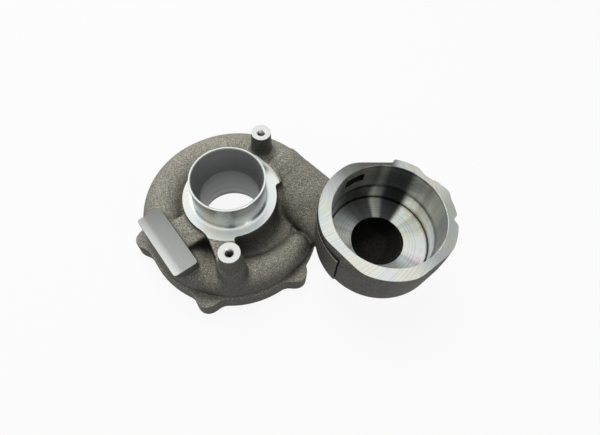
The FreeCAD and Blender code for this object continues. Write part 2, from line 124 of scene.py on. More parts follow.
# Stations along the duct outside and inside, points round the passage and along the scroll, and the
# overlap of the outside's stretches.
DUCT_OUTSIDE, DUCT_INSIDE, PASSAGE_TURNS, PASSAGE_STEPS, STRETCH_OVERLAP = 22, 8, 48, 64, 2.5

# The grid, and what its mesh keeps of faces and sharp edges.
GRID_LOW, GRID_HIGH, GRID_STEP = (-76, -76, -4), (154, 70, 76), 0.75
KEPT_FACES, SHARP_ANGLE = 0.42, 32


# Fields

class Grid:
    """Points of a regular grid over the casting; x, y and z broadcast against each other."""

    def __init__(self, low, high, step):
        axes = [np.arange(a, b + step, step, dtype=np.float32) for a, b in zip(low, high)]
        self.low, self.step = np.array(low, dtype=np.float32), step
        self.x = axes[0][:, None, None]
        self.y = axes[1][None, :, None]
        self.z = axes[2][None, None, :]


GRID = Grid(GRID_LOW, GRID_HIGH, GRID_STEP)


def joined(a, b, blend):
    """Union of two fields with a hollow blend."""
    share = np.clip(0.5 + 0.5 * (b - a) / blend, 0, 1)
    return b + (a - b) * share - blend * share * (1 - share)


def trimmed(a, b, blend):
    """Intersection of two fields with a rounded edge."""
    return -joined(-a, -b, blend)


def round_field(x, y):
    """Distance from a vertical axis."""
    return np.hypot(GRID.x - x, GRID.y - y)


def side_field(x, y, angle):
    """Distance along a direction from a point."""
    turn = math.radians(angle)
    return (GRID.x - x) * math.cos(turn) + (GRID.y - y) * math.sin(turn)


def raised(plan, low, high, edge):
    """Upright body over a plan field, with rounded edges."""
    wall = plan + edge
    ends = np.abs(GRID.z - (low + high) / 2) - (high - low) / 2 + edge
    return np.minimum(np.maximum(wall, ends), 0) + np.hypot(np.maximum(wall, 0), np.maximum(ends, 0)) - edge


def turned_field(corners):
    """Field of a body of revolution about the inlet axis, from its closed outline of (r, z) corners."""
    r, z = np.broadcast_arrays(np.hypot(GRID.x, GRID.y), GRID.z)
    nearest = np.full(r.shape, 1e6, dtype=np.float32)
    inside = np.zeros(r.shape, dtype=bool)
    for (r0, z0), (r1, z1) in zip(corners, corners[1:] + corners[:1]):
        along_r, along_z = r1 - r0, z1 - z0
        share = np.clip(((r - r0) * along_r + (z - z0) * along_z) / (along_r ** 2 + along_z ** 2), 0, 1)
        nearest = np.minimum(nearest, np.hypot(r - r0 - along_r * share, z - z0 - along_z * share))
        if z0 != z1:
            crosses = (z0 <= z) != (z1 <= z)
            inside ^= crosses & (r < r0 + (z - z0) * along_r / along_z)
    return np.where(inside, -nearest, nearest)


def passage_radius(share):
    """The area grows in step with the angle."""
    return np.sqrt(PASSAGE_START ** 2 + (PASSAGE_END ** 2 - PASSAGE_START ** 2) * share)


def passage_middle(share):
    """Distance of the passage's middle from the inlet axis."""
    late = np.clip((share - GROWTH_START) / (1 - GROWTH_START), 0, 1)
    return SCROLL_REACH + SCROLL_GROWTH * late - WALL - passage_radius(share)


def scroll_field():
    """Field of the scroll's outside, with a round end at its tongue and at its outlet."""
    angle = np.degrees(np.arctan2(GRID.y, GRID.x))
    turned = (SCROLL_START - angle) % 360
    sweep = SCROLL_START - SCROLL_END
    share = np.clip(turned / sweep, 0, 1)
    radius = passage_radius(share)
    away = np.hypot(GRID.x, GRID.y) - passage_middle(share)
    tube = np.hypot(away, GRID.z - SCROLL_FLOOR - radius) - radius - WALL
    ends = []
    for share_here, direction in ((0.0, SCROLL_START), (1.0, SCROLL_END)):
        turn, radius_here = math.radians(direction), float(passage_radius(share_here))
        middle = float(passage_middle(share_here))
        x, y, z = middle * math.cos(turn), middle * math.sin(turn), SCROLL_FLOOR + radius_here
        ends.append(np.sqrt((GRID.x - x) ** 2 + (GRID.y - y) ** 2 + (GRID.z - z) ** 2) - radius_here - WALL)
    return np.where(turned <= sweep, tube, np.minimum(*ends)).astype(np.float32)


def duct_stations(count):
    """Middle, sideways and upward directions and half sizes along the duct."""
    turn = math.radians(SCROLL_END)
    outward, up = Vector((math.cos(turn), math.sin(turn), 0)), Vector((0, 0, 1))
    along = outward.cross(up)
    floor = CUP_RIM - CUP_LEVELS[-1][1] + DUCT_OVERRUN
    start = outward * float(passage_middle(1.0)) + up * (SCROLL_FLOOR + PASSAGE_END)
    mouth = Vector((CUP_X, 0, floor))
    handles = [start, start + along * DUCT_LEAD_OUT, mouth - up * DUCT_LEAD_UP, mouth]
    stations = []
    for share in np.linspace(0, 1, count):
        rest = 1 - share
        weights = (rest ** 3, 3 * rest ** 2 * share, 3 * rest * share ** 2, share ** 3)
        slopes = (-3 * rest ** 2, 3 * rest ** 2 - 6 * rest * share,
                  6 * rest * share - 3 * share ** 2, 3 * share ** 2)
        middle = sum((h * w for h, w in zip(handles, weights)), Vector())
        tangent = sum((h * w for h, w in zip(handles, slopes)), Vector()).normalized()
        sideways = (outward - tangent * outward.dot(tangent)).normalized()
        sizes = [PASSAGE_END * rest ** 2 + pull * 2 * rest * share + CUP_HOLE * share ** 2
                 for pull in (DUCT_HALF_WIDTH, DUCT_HALF_HEIGHT)]
        stations.append((middle, sideways, tangent.cross(sideways), sizes))
    return stations


def duct_field(growth):
    """Field of the duct's outside: the nearest of short oval stretches, which overlap in its bends."""
    stations = duct_stations(DUCT_OUTSIDE)
    nearest = None
    for (c0, s0, u0, size0), (c1, s1, u1, size1) in zip(stations, stations[1:]):
        step = c1 - c0
        length = step.length
        ahead = step / length
        away = [GRID.x - c0.x, GRID.y - c0.y, GRID.z - c0.z]
        along = away[0] * ahead.x + away[1] * ahead.y + away[2] * ahead.z
        share = np.clip(along / length, 0, 1)
        spare = along - share * length
        side, up = (s0 + s1).normalized(), (u0 + u1).normalized()
        u = away[0] * side.x + away[1] * side.y + away[2] * side.z
        v = away[0] * up.x + away[1] * up.y + away[2] * up.z
        width, height = [a + growth + (b - a) * share for a, b in zip(size0, size1)]
        reach = np.hypot(u / width, v / height)
        slope = np.hypot(u / width ** 2, v / height ** 2) + 1e-6
        oval = reach * (reach - 1) / slope
        beside = np.abs(spare) < STRETCH_OVERLAP
        distance = np.where(beside, oval, np.hypot(np.maximum(oval, 0), spare))
        nearest = distance if nearest is None else np.minimum(nearest, distance)
    return nearest.astype(np.float32)


def surface_mesh(field, name):
    """Closed quad mesh on the field's zero level: one vertex in each grid cell that the surface passes."""
    solid = field < 0
    corners = [(i, j, k) for i in (0, 1) for j in (0, 1) for k in (0, 1)]
    shape = [n - 1 for n in field.shape]

    def shifted(array, corner):
        return array[tuple(slice(c, c + n) for c, n in zip(corner, shape))]

    count = sum(shifted(solid, corner).astype(np.int8) for corner in corners)
    cells = np.argwhere((count > 0) & (count < 8))
    values = np.stack([field[tuple((cells + corner).T)] for corner in corners])
    total, crossings = np.zeros((len(cells), 3), dtype=np.float32), np.zeros(len(cells), dtype=np.float32)
    for a, first in enumerate(corners):
        for b, second in enumerate(corners):
            if b <= a or sum(abs(p - q) for p, q in zip(first, second)) != 1:
                continue
            crosses = (values[a] < 0) != (values[b] < 0)
            share = np.where(crosses, values[a] / np.where(crosses, values[a] - values[b], 1), 0)
            spot = np.array(first) + share[:, None] * (np.array(second) - np.array(first))
            total += np.where(crosses[:, None], spot, 0)
            crossings += crosses
    spots = GRID.low + (cells + total / crossings[:, None]) * GRID.step
    index = np.full(shape, -1, dtype=np.int64)
    index[tuple(cells.T)] = np.arange(len(cells))
    quads = []
    for axis in range(3):
        one, two = [other for other in range(3) if other != axis]
        inner = tuple(slice(1, -1) if other != axis else slice(None, -1) for other in range(3))
        here = solid[inner]
        there = solid[tuple(slice(1, -1) if other != axis else slice(1, None) for other in range(3))]
        edges = np.argwhere(here != there) + np.array([0 if other == axis else 1 for other in range(3)])
        back_one, back_two = np.zeros(3, dtype=int), np.zeros(3, dtype=int)
        back_one[one], back_two[two] = 1, 1
        ring = [edges, edges - back_one, edges - back_one - back_two, edges - back_two]
        quad = np.stack([index[tuple(cell.T)] for cell in ring], axis=1)
        flip = solid[tuple(edges.T)] == (axis == 1)
        quad[flip] = quad[flip][:, ::-1]
        quads.append(quad)
    return mesh_object(name, spots, np.concatenate(quads).tolist())


def mesh_object(name, spots, faces):
    """A piece from millimetre points and faces."""
    mesh = bpy.data.meshes.new(name)
    mesh.from_pydata((np.asarray(spots) * MM).tolist(), [], faces)
    mesh.validate()
    piece = bpy.data.objects.new(name, mesh)
    bpy.context.scene.collection.objects.link(piece)
    return piece


# Cast blank

def flange_form():
    """Round back flange with its lugs."""
    plan = round_field(0, 0) - FLANGE_RADIUS
    for lug in LUGS:
        spot = place(lug)
        plan = joined(plan, round_field(spot.x, spot.y) - LUG_RADIUS, LUG_BLEND)
    return raised(plan, -STOCK, FLANGE_HEIGHT, FLANGE_EDGE)


def hub_form():
    """Hub with its hollow flank, and the inlet tube on it."""
    root = TUBE_RADIUS + STOCK
    width, height = SEAT_RADIUS - HUB_FOOT_RADIUS, HUB_RIM - HUB_FOOT_HEIGHT
    flank = [(HUB_FOOT_RADIUS + width * math.sin(t), HUB_FOOT_HEIGHT + height * (1 - math.cos(t)))
             for t in np.linspace(0, math.pi / 2, 7)]
    foot = [(PAST_AXIS, STOCK), (HUB_FOOT_RADIUS, STOCK)]
    tube = [(SEAT_RADIUS, SEAT_HEIGHT + STOCK), (root, SEAT_HEIGHT + STOCK),
            (root, TUBE_TOP + STOCK), (PAST_AXIS, TUBE_TOP + STOCK)]
    return turned_field(foot + flank + tube)


def shoulder_form():
    """Low shoulder beside the ring, which the seat's facing tool runs into."""
    inner, outer = SHOULDER
    r = round_field(0, 0)
    ring = np.abs(r - (SEAT_RADIUS + SEAT_CUT) / 2) - (SEAT_CUT - SEAT_RADIUS) / 2 - SHOULDER_SPREAD
    sector = np.maximum(side_field(0, 0, inner - 90), side_field(0, 0, outer + 90))
    return raised(np.maximum(ring, sector), HUB_FOOT_HEIGHT, SEAT_HEIGHT + SHOULDER_RISE, SHOULDER_EDGE)


def post_form(post):
    """Round post with draft."""
    spot = place(post)
    slope = round_field(spot.x, spot.y) - POST_RADIUS - POST_DRAFT * (POST_TOP - GRID.z)
    return np.maximum(np.maximum(slope, GRID.z - POST_TOP - STOCK), HUB_FOOT_HEIGHT - GRID.z)


def web_form():
    """Web between the near post and the ring."""
    far, near = place("post_south"), Vector((0, -TUBE_RADIUS - STOCK, 0))
    step = far - near
    along = (GRID.x - near.x) * step.x + (GRID.y - near.y) * step.y
    share = np.clip(along / (step.x ** 2 + step.y ** 2), 0, 1)
    away = np.hypot(GRID.x - near.x - step.x * share, GRID.y - near.y - step.y * share)
    return raised(away - WEB_HALF_WIDTH, HUB_FOOT_HEIGHT, SEAT_HEIGHT + STOCK, WEB_EDGE)


def pad_axes():
    """Distances along the pad and across it, inwards, from its middle."""
    spot = place("pad_face")
    return side_field(spot.x, spot.y, PAD_ANGLE), side_field(spot.x, spot.y, PAD_ANGLE + 90)


def pad_form():
    """Block under the pad, whose foot draws in towards the scroll."""
    along, inward = pad_axes()
    top = place("pad_face").z
    edge = top - PAD_DEPTH
    shrink = PAD_SHRINK * np.clip((edge - GRID.z) / (edge - FLANGE_HEIGHT), 0, 1)
    ends = np.abs(along) - PAD_LENGTH / 2 + shrink
    sides = np.maximum(inward - PAD_WIDTH / 2, -inward - PAD_WIDTH / 2 + shrink)
    walls = trimmed(ends, sides, PAD_EDGE)
    return np.maximum(np.maximum(walls, GRID.z - top - STOCK), FLANGE_HEIGHT - PAD_SINK - GRID.z)


def bridge_form():
    """Bridge that ties the pad's block to the ring."""
    along, inward = pad_axes()
    middle, half = (BRIDGE_FROM + BRIDGE_TO) / 2, (BRIDGE_TO - BRIDGE_FROM) / 2
    plan = np.maximum(np.abs(along - middle) - half, np.abs(inward - BRIDGE_REACH / 2) - BRIDGE_REACH / 2)
    return raised(plan, FLANGE_HEIGHT, BRIDGE_HEIGHT, BRIDGE_EDGE)


def cup_plan():
    """Outline of the cup: flats, flat side, scoop, ear and notch on a round."""
    plan = round_field(CUP_X + CUP_SHIFT[0], CUP_SHIFT[1]) - CUP_OUTER
    for reach, angle in CUP_FLATS:
        flat = side_field(CUP_X, 0, angle) - reach - FLAT_FADE * (CUP_RIM - GRID.z)
        plan = trimmed(plan, flat, FLAT_EDGE)
    beside = side_field(CUP_X, 0, CUP_SIDE_END + 90)
    side = np.minimum(side_field(CUP_X, 0, CUP_SIDE_ANGLE) - CUP_SIDE, beside)
    plan = trimmed(plan, side, SIDE_EDGE)
    turn = math.radians(SCOOP_ANGLE)
    scoop = round_field(CUP_X + SCOOP_REACH * math.cos(turn), SCOOP_REACH * math.sin(turn))
    plan = trimmed(plan, SCOOP_RADIUS - scoop, SCOOP_EDGE)
    turn = math.radians(EAR_ANGLE)
    ear = round_field(CUP_X + EAR_REACH * math.cos(turn), EAR_REACH * math.sin(turn)) - EAR_RADIUS
    plan = joined(plan, ear, EAR_BLEND)
    out = side_field(CUP_X, 0, NOTCH_ANGLE) - CUP_OUTER + NOTCH_DEPTH
    across = side_field(CUP_X, 0, NOTCH_ANGLE + 90)
    notch = (out - NOTCH_SLOPE * np.abs(across)) / math.hypot(1, NOTCH_SLOPE)
    return trimmed(plan, notch, NOTCH_EDGE)


def cup_form():
    """Outlet cup with drafted wall, rounded base and the thicker wall beside the duct."""
    lean = (CUP_RIM - GRID.z) * math.tan(math.radians(CUP_DRAFT))
    base = CUP_RIM - CUP_HEIGHT - CUP_BASE_BLEND
    body = rounded_below(cup_plan() + lean, base, CUP_BASE_BLEND)
    thick = round_field(CUP_X + CUP_SHIFT[0], CUP_SHIFT[1]) - CUP_OUTER - SADDLE_STEP + lean
    sector = np.maximum(side_field(CUP_X, 0, SADDLE_TO + 90),
                        side_field(CUP_X, 0, SADDLE_FROM - 90))
    saddle = rounded_below(np.maximum(thick, sector), base, CUP_BASE_BLEND)
    saddle = trimmed(saddle, GRID.z - CUP_RIM + SADDLE_DROP, SADDLE_EDGE)
    return joined(np.maximum(body, GRID.z - CUP_RIM - STOCK), saddle, SADDLE_EDGE)


def rounded_below(wall, base, edge):
    """Body under a wall field whose lower edge is rounded."""
    side, under = wall + edge, base + edge - GRID.z
    return np.minimum(np.maximum(side, under), 0) + np.hypot(np.maximum(side, 0), np.maximum(under, 0)) - edge


def cast_field():
    """The whole blank with the stock that machining takes away."""
    wall = round_field(0, 0) - SKIRT_RADIUS + SKIRT_DRAFT * GRID.z / SKIRT_HEIGHT
    skirt = np.maximum(wall, np.abs(GRID.z - SKIRT_HEIGHT / 2) - SKIRT_HEIGHT / 2)
    volute = joined(scroll_field(), duct_field(WALL), DUCT_BLEND)
    body = joined(skirt, volute, SKIRT_BLEND)
    for form, blend in ((hub_form, HUB_BLEND), (shoulder_form, SHOULDER_BLEND), (flange_form, FLANGE_BLEND),
                        (bridge_form, BRIDGE_BLEND), (pad_form, PAD_BLEND), (web_form, WEB_BLEND)):
        body = joined(body, form(), blend)
    for post in POSTS:
        body = joined(body, post_form(post), POST_BLEND)
    return joined(body, cup_form(), CUP_BLEND)


# Cutters

def turned_piece(name, corners, x=0.0, y=0.0, segments=192):
    """Body of revolution about a vertical axis from its closed outline of (r, z) corners."""
    spots, rings = [], []
    for r, z in corners:
        if r <= 0:
            rings.append([len(spots)])
            spots.append((x, y, z))
            continue
        rings.append(list(range(len(spots), len(spots) + segments)))
        turns = np.linspace(0, 2 * math.pi, segments, endpoint=False)
        spots += [(x + r * math.cos(t), y + r * math.sin(t), z) for t in turns]
    faces = []
    for ring, after in zip(rings, rings[1:] + rings[:1]):
        if len(ring) == 1 and len(after) == 1:
            continue
        for i in range(segments):
            j = (i + 1) % segments
            if len(ring) == 1:
                faces.append((ring[0], after[i], after[j]))
            elif len(after) == 1:
                faces.append((ring[i], after[0], ring[j]))
            else:
                faces.append((ring[i], after[i], after[j], ring[j]))
    return closed(mesh_object(name, spots, faces))


def lofted_piece(name, rings):
    """Closed body through rings of points."""
    count = len(rings[0])
    spots = [spot for ring in rings for spot in ring]
    faces = [tuple(range(count))[::-1], tuple(range(len(spots) - count, len(spots)))]
    for row in range(len(rings) - 1):
        for i in range(count):
            j = (i + 1) % count
            a, b = row * count, (row + 1) * count
            faces.append((a + i, a + j, b + j, b + i))
    return closed(mesh_object(name, spots, faces))


def closed(piece):
    """The same piece with all faces turned outwards."""
    work = bmesh.new()
    work.from_mesh(piece.data)
    bmesh.ops.recalc_face_normals(work, faces=work.faces)
    work.to_mesh(piece.data)
    work.free()
    return piece


def block_piece(name, low, high, x=0.0, y=0.0, angle=0.0):
    """Box between two corners, turned about a vertical axis through (x, y)."""
    turn = Matrix.Translation((x, y, 0)) @ Matrix.Rotation(math.radians(angle), 4, "Z")
    rings = []
    for z in (low[2], high[2]):
        plan = ((low[0], low[1]), (high[0], low[1]), (high[0], high[1]), (low[0], high[1]))
        rings.append([tuple(turn @ Vector((a, b, z))) for a, b in plan])
    return lofted_piece(name, rings)


def arc(start, end, bulge, steps):
    """Points of a quarter-like curve from start to end that leaves towards bulge."""
    return [tuple(a * (1 - t) ** 2 + c * 2 * t * (1 - t) + b * t ** 2 for a, b, c in zip(start, end, bulge))
            for t in np.linspace(0, 1, steps + 1)]


def passage_piece():
    """The air's way through scroll and duct."""
    rings = []
    turns = np.linspace(0, 2 * math.pi, PASSAGE_TURNS, endpoint=False)
    for share in np.linspace(0, 1, PASSAGE_STEPS):
        angle = math.radians(SCROLL_START * (1 - share) + SCROLL_END * share)
        radius, middle = float(passage_radius(share)), float(passage_middle(share))
        ring = []
        for t in turns:
            reach = middle + radius * math.cos(t)
            height = SCROLL_FLOOR + radius + radius * math.sin(t)
            ring.append((reach * math.cos(angle), reach * math.sin(angle), height))
        rings.append(ring)
    for middle, sideways, upward, (width, height) in duct_stations(DUCT_INSIDE)[1:]:
        rings.append([tuple(middle + sideways * width * math.cos(t) + upward * height * math.sin(t))
                      for t in turns])
    return lofted_piece("passage", rings)


def core_piece():
    """Register, wheel cavity, slot, shroud, throat and the inlet's bore, in one turning."""
    shroud = arc((WHEEL_TIP, DIFFUSER_DEPTH), (THROAT, SHROUD_HEIGHT),
                 (THROAT + SHROUD_PULL[0], DIFFUSER_DEPTH + SHROUD_PULL[1]), SHROUD_STEPS)
    slot_top = SCROLL_FLOOR + SLOT_OVERLAP
    register, bore = radius_of("register"), radius_of("inlet_bore")
    lip, top = bore + TUBE_BREAK, TUBE_TOP + CLEAR
    back = [(0, BELOW), (register, BELOW), (register, REGISTER_DEPTH), (SLOT_RADIUS, REGISTER_DEPTH),
            (SLOT_RADIUS, slot_top), (DIFFUSER_RADIUS, slot_top), (DIFFUSER_RADIUS, DIFFUSER_DEPTH)]
    inlet = [(THROAT, STEP_HEIGHT), (bore, STEP_HEIGHT + STEP_CONE), (bore, TUBE_TOP - TUBE_BREAK),
             (lip, TUBE_TOP), (lip, top), (0, top)]
    return turned_piece("core", back + shroud + inlet)


def tube_turning_piece():
    """Everything that turning takes away round the tube and above the seat."""
    root = arc((TUBE_RADIUS + TUBE_ROOT, SEAT_HEIGHT), (TUBE_RADIUS, SEAT_HEIGHT + TUBE_ROOT),
               (TUBE_RADIUS, SEAT_HEIGHT), ROOT_STEPS)
    top = TUBE_TOP + CLEAR
    above = [(TUBE_RADIUS, TUBE_TOP - TUBE_EDGE), (TUBE_RADIUS - TUBE_EDGE, TUBE_TOP), (THROAT, TUBE_TOP),
             (THROAT, top), (SEAT_CUT, top), (SEAT_CUT, SEAT_HEIGHT)]
    return turned_piece("tube_turning", root + above)


def cup_bore_piece():
    """The cup's stepped bore."""
    lip, top = CUP_LEVELS[0][0] + CUP_CHAMFER, CUP_RIM + CLEAR
    corners = [(0, top), (lip, top), (lip, CUP_RIM), (CUP_LEVELS[0][0], CUP_RIM - CUP_CHAMFER)]
    for (radius, depth), (inner, _) in zip(CUP_LEVELS, CUP_LEVELS[1:] + ((0, 0),)):
        corners += [(radius, CUP_RIM - depth), (inner, CUP_RIM - depth)]
    return turned_piece("cup_bore", corners, CUP_X)


def disc_piece(name, radius, low, high, x, y=0.0, segments=192):
    """Round disc between two heights."""
    return turned_piece(name, [(0, low), (radius, low), (radius, high), (0, high)], x, y, segments)


def groove_piece():
    """Narrow groove between the cup's wall and the top of the thick wall beside the duct."""
    top = CUP_RIM - SADDLE_DROP
    inner, outer = CUP_OUTER - GROOVE_DEPTH, CUP_OUTER + GROOVE_REACH
    low, high = top - GROOVE_BELOW, top + GROOVE_ABOVE
    rings = []
    for angle in np.linspace(SADDLE_FROM, SADDLE_TO, GROOVE_STEPS):
        turn = math.radians(angle)
        rings.append([(CUP_X + CUP_SHIFT[0] + r * math.cos(turn), CUP_SHIFT[1] + r * math.sin(turn), z)
                      for r, z in ((inner, low), (outer, low), (outer, high), (inner, high))])
    return lofted_piece("saddle_groove", rings)


def slit_piece():
    """Upright slit where the thick wall beside the duct ends."""
    top = CUP_RIM - SADDLE_DROP
    low = (CUP_OUTER - SLIT_DEPTH, -SLIT_HALF_WIDTH, top - SLIT_HEIGHT)
    high = (CUP_OUTER + SLIT_REACH, SLIT_HALF_WIDTH, top)
    return block_piece("saddle_end", low, high, CUP_X + CUP_SHIFT[0], CUP_SHIFT[1], SADDLE_TO)


def threaded_piece(name, spot, radius, low, high, pitch=1.0, depth=0.5, segments=40):
    """A tapped hole: a grid of points round the axis whose radius follows the thread."""
    rows = int((high - low) / pitch * THREAD_ROWS)
    rings = []
    for row in range(rows + 1):
        z = low + (high - low) * row / rows
        ring = []
        for i in range(segments):
            turn = 2 * math.pi * i / segments
            phase = (z / pitch - i / segments) % 1
            reach = radius + depth * (1 - abs(2 * phase - 1))
            ring.append((spot.x + reach * math.cos(turn), spot.y + reach * math.sin(turn), z))
        rings.append(ring)
    return lofted_piece(name, rings)


def clip_window_piece(angle):
    """Window in the cup's wall for a clip, cut from inside."""
    middle = CUP_RIM - CLIP_DROP
    low = (CUP_LEVELS[0][0] - CLIP_INSIDE, -CLIP_WIDTH / 2, middle - CLIP_HEIGHT / 2)
    high = (CUP_LEVELS[0][0] + CLIP_DEPTH, CLIP_WIDTH / 2, middle + CLIP_HEIGHT / 2)
    return block_piece("clip_window", low, high, CUP_X, 0, angle)


def post_cuts(post):
    """Facing, thread and countersink of a post."""
    spot, radius = place(post), radius_of(post)
    bottom = spot.z - MOUNTS[post]["dims"]["length_mm"]
    sink_top = POST_TOP + SINK_OVERRUN
    sink = [(0, spot.z - SINK_TIP), (radius - SINK_INSET, spot.z - SINK_START),
            (radius + POST_SINK + SINK_OVERRUN, sink_top), (0, sink_top)]
    facing = disc_piece(post + "_facing", POST_CUT_RADIUS, POST_TOP, POST_TOP + CLEAR, spot.x, spot.y,
                        POST_SEGMENTS)
    thread = threaded_piece(post + "_thread", spot, radius - THREAD_UNDERCUT, bottom,
                            POST_TOP + THREAD_OVERRUN)
    countersink = turned_piece(post + "_sink", sink, spot.x, spot.y, POST_SEGMENTS)
    return [(facing, "top"), (thread, "thread"), (countersink, "top")]


def machining():
    """All cutters with the finish that each leaves."""
    pad, floor = place("pad_face"), CUP_RIM - CUP_LEVELS[-1][1]
    pad_x, pad_y = PAD_LENGTH / 2 + PAD_MARGIN, PAD_WIDTH / 2 + PAD_MARGIN
    pad_low, pad_high = (-pad_x, -pad_y, pad.z), (pad_x, pad_y, pad.z + CLEAR)
    face_low, face_high = (-FACING_HALF, -FACING_HALF, -FACING_DEPTH), (FACING_HALF, FACING_HALF, 0)
    # The "dark" finish is painted shade: near black in the passage, clip windows, mouth, groove and slit.
    cuts = [
        (passage_piece(), "dark"),
        (core_piece(), "bore"),
        (tube_turning_piece(), "seat"),
        (cup_bore_piece(), "cup"),
        (block_piece("flange_facing", face_low, face_high), "milled"),
        (disc_piece("rim_facing", RIM_CUT_RADIUS, CUP_RIM, CUP_RIM + CLEAR, CUP_X), "rim"),
        (block_piece("pad_facing", pad_low, pad_high, pad.x, pad.y, PAD_ANGLE), "pad"),
    ]
    cuts += [(clip_window_piece(angle), "dark") for angle in CLIP_ANGLES]
    cuts.append((disc_piece("cup_mouth", CUP_HOLE, floor - MOUTH_DEPTH, floor + MOUTH_RISE, CUP_X), "dark"))
    cuts.append((groove_piece(), "dark"))
    cuts.append((slit_piece(), "dark"))
    for post in POSTS:
        cuts += post_cuts(post)
    for name, mount in MOUNTS.items():
        if name.startswith(("lug_", "screw_")):
            radius, depth = radius_of(name) - THREAD_UNDERCUT, mount["dims"]["length_mm"]
            thread = threaded_piece(name + "_thread", place(name), radius, -THREAD_OVERRUN, depth)
            cuts.append((thread, "thread"))
    return cuts


# Finishes

def new_finish(name):
    """A new material with its node tree's building function and its shader."""
    material = bpy.data.materials.new(name)
    material.use_nodes = True
    tree = material.node_tree
    shader = tree.nodes["Principled BSDF"]

    def add(kind, inputs=(), **settings):
        made = tree.nodes.new("ShaderNode" + kind)
        for key, value in settings.items():
            setattr(made, key, value)
        for key, value in dict(inputs).items():
            if isinstance(value, bpy.types.NodeSocket):
                tree.links.new(value, made.inputs[key])
            else:
                made.inputs[key].default_value = value
        return made

    def link(value, socket):
        tree.links.new(value, shader.inputs[socket])

    return material, add, link, shader


def ramp(add, value, stops):
    """Colour or grey shade that follows a value: (value, colour) pairs."""
    made = add("ValToRGB", {"Fac": value})
    while len(made.color_ramp.elements) < len(stops):
        made.color_ramp.elements.new(0.5)
    for element, (place_here, colour) in zip(made.color_ramp.elements, stops):
        element.position = place_here
        element.color = colour + (1,) if isinstance(colour, tuple) else (colour, colour, colour, 1)
    return made.outputs["Color"]


def noise(add, vector, scale, detail=2.0, roughness=0.5):
    """Noise in space, from 0 to 1."""
    inputs = {"Vector": vector, "Scale": scale, "Detail": detail, "Roughness": roughness}
    return add("TexNoise", inputs).outputs["Fac"]


def line_noise(add, value, scale, detail=2.0, roughness=0.5):
    """Noise along one measure, such as a radius, which draws rings or lines."""
    return noise(add, add("CombineXYZ", {"X": value}).outputs["Vector"], scale, detail, roughness)


def cast_finish():
    """Shot-blasted skin: fine bright and dark grains on a warm grey.

    Faces that look down or sideways and hollows are painted darker, and edges brighter, after the
    photograph's shading.
    """
    material, add, link, shader = new_finish("cast_skin")
    spot = add("TexCoord").outputs["Object"]
    grain = noise(add, spot, 1150.0, 4.0, 0.7)
    cloud = noise(add, spot, 55.0, 4.0, 0.6)
    speckle = ramp(add, grain, [(0.34, (0.055, 0.053, 0.045)), (0.48, (0.135, 0.129, 0.108)),
                                (0.60, (0.24, 0.227, 0.183)), (0.72, (0.50, 0.47, 0.37))])
    shade = ramp(add, cloud, [(0.25, 0.82), (0.75, 1.10)])
    hollow = add("AmbientOcclusion", {"Distance": 0.022}, samples=8).outputs["AO"]
    edge = add("NewGeometry").outputs["Pointiness"]
    upward = add("SeparateXYZ", {"Vector": add("NewGeometry").outputs["Normal"]}).outputs["Z"]
    facing = ramp(add, upward, [(0.0, 0.30), (0.45, 0.66), (1.0, 1.22)])
    skin = times(add, times(add, speckle, shade), facing)
    skin = times(add, skin, ramp(add, hollow, [(0.20, 0.42), (0.85, 1.0)]))
    link(times(add, skin, ramp(add, edge, [(0.46, 0.80), (0.50, 0.98), (0.56, 1.35)])), "Base Color")
    link(ramp(add, grain, [(0.3, 0.72), (0.8, 0.46)]), "Roughness")
    shader.inputs["Metallic"].default_value = 0.10
    shader.inputs["Specular IOR Level"].default_value = 0.30
    bump = add("Bump", {"Height": grain, "Strength": 0.55, "Distance": 0.00025}).outputs["Normal"]
    waves = add("Bump", {"Height": cloud, "Strength": 0.25, "Distance": 0.0012, "Normal": bump})
    link(waves.outputs["Normal"], "Normal")
    return material


def painted_shade_finish():
    """Rough cast wall deep inside the passage and other recesses, painted near black as shade."""
    material, add, link, shader = new_finish("painted_shade_recesses")
    grain = noise(add, add("TexCoord").outputs["Object"], 700.0, 4.0, 0.7)
    link(ramp(add, grain, [(0.35, (0.004, 0.004, 0.004)), (0.7, (0.020, 0.019, 0.016))]), "Base Color")
    shader.inputs["Specular IOR Level"].default_value = 0.15
    link(ramp(add, grain, [(0.3, 0.75), (0.8, 0.5)]), "Roughness")
    link(add("Bump", {"Height": grain, "Strength": 0.5, "Distance": 0.0004}).outputs["Normal"], "Normal")
    return material


def axis_coordinates(add, x):
    """Place across a vertical axis, radius, height and turning direction, in metres."""
    spot = add("TexCoord").outputs["Object"]
    moved = add("VectorMath", {0: spot, 1: (x * MM, 0, 0)}, operation="SUBTRACT").outputs["Vector"]
    parts = add("SeparateXYZ", {"Vector": moved})
    flat = add("CombineXYZ", {"X": parts.outputs["X"], "Y": parts.outputs["Y"]}).outputs["Vector"]
    radius = add("VectorMath", {0: flat}, operation="LENGTH").outputs["Value"]
    tangent = add("VectorMath", {0: (0, 0, 1), 1: flat}, operation="CROSS_PRODUCT").outputs["Vector"]
    return flat, radius, parts.outputs["Z"], tangent


def around(add, flat, turns):
    """Shade that changes round the axis: (angle, shade) pairs from -180 to 180 degrees."""
    parts = add("SeparateXYZ", {"Vector": flat})
    angle = add("Math", {0: parts.outputs["Y"], 1: parts.outputs["X"]}, operation="ARCTAN2").outputs["Value"]
    share = add("MapRange", {"Value": angle, "From Min": -math.pi, "From Max": math.pi}).outputs["Result"]
    return ramp(add, share, [((turn + 180) / 360, shade) for turn, shade in turns])


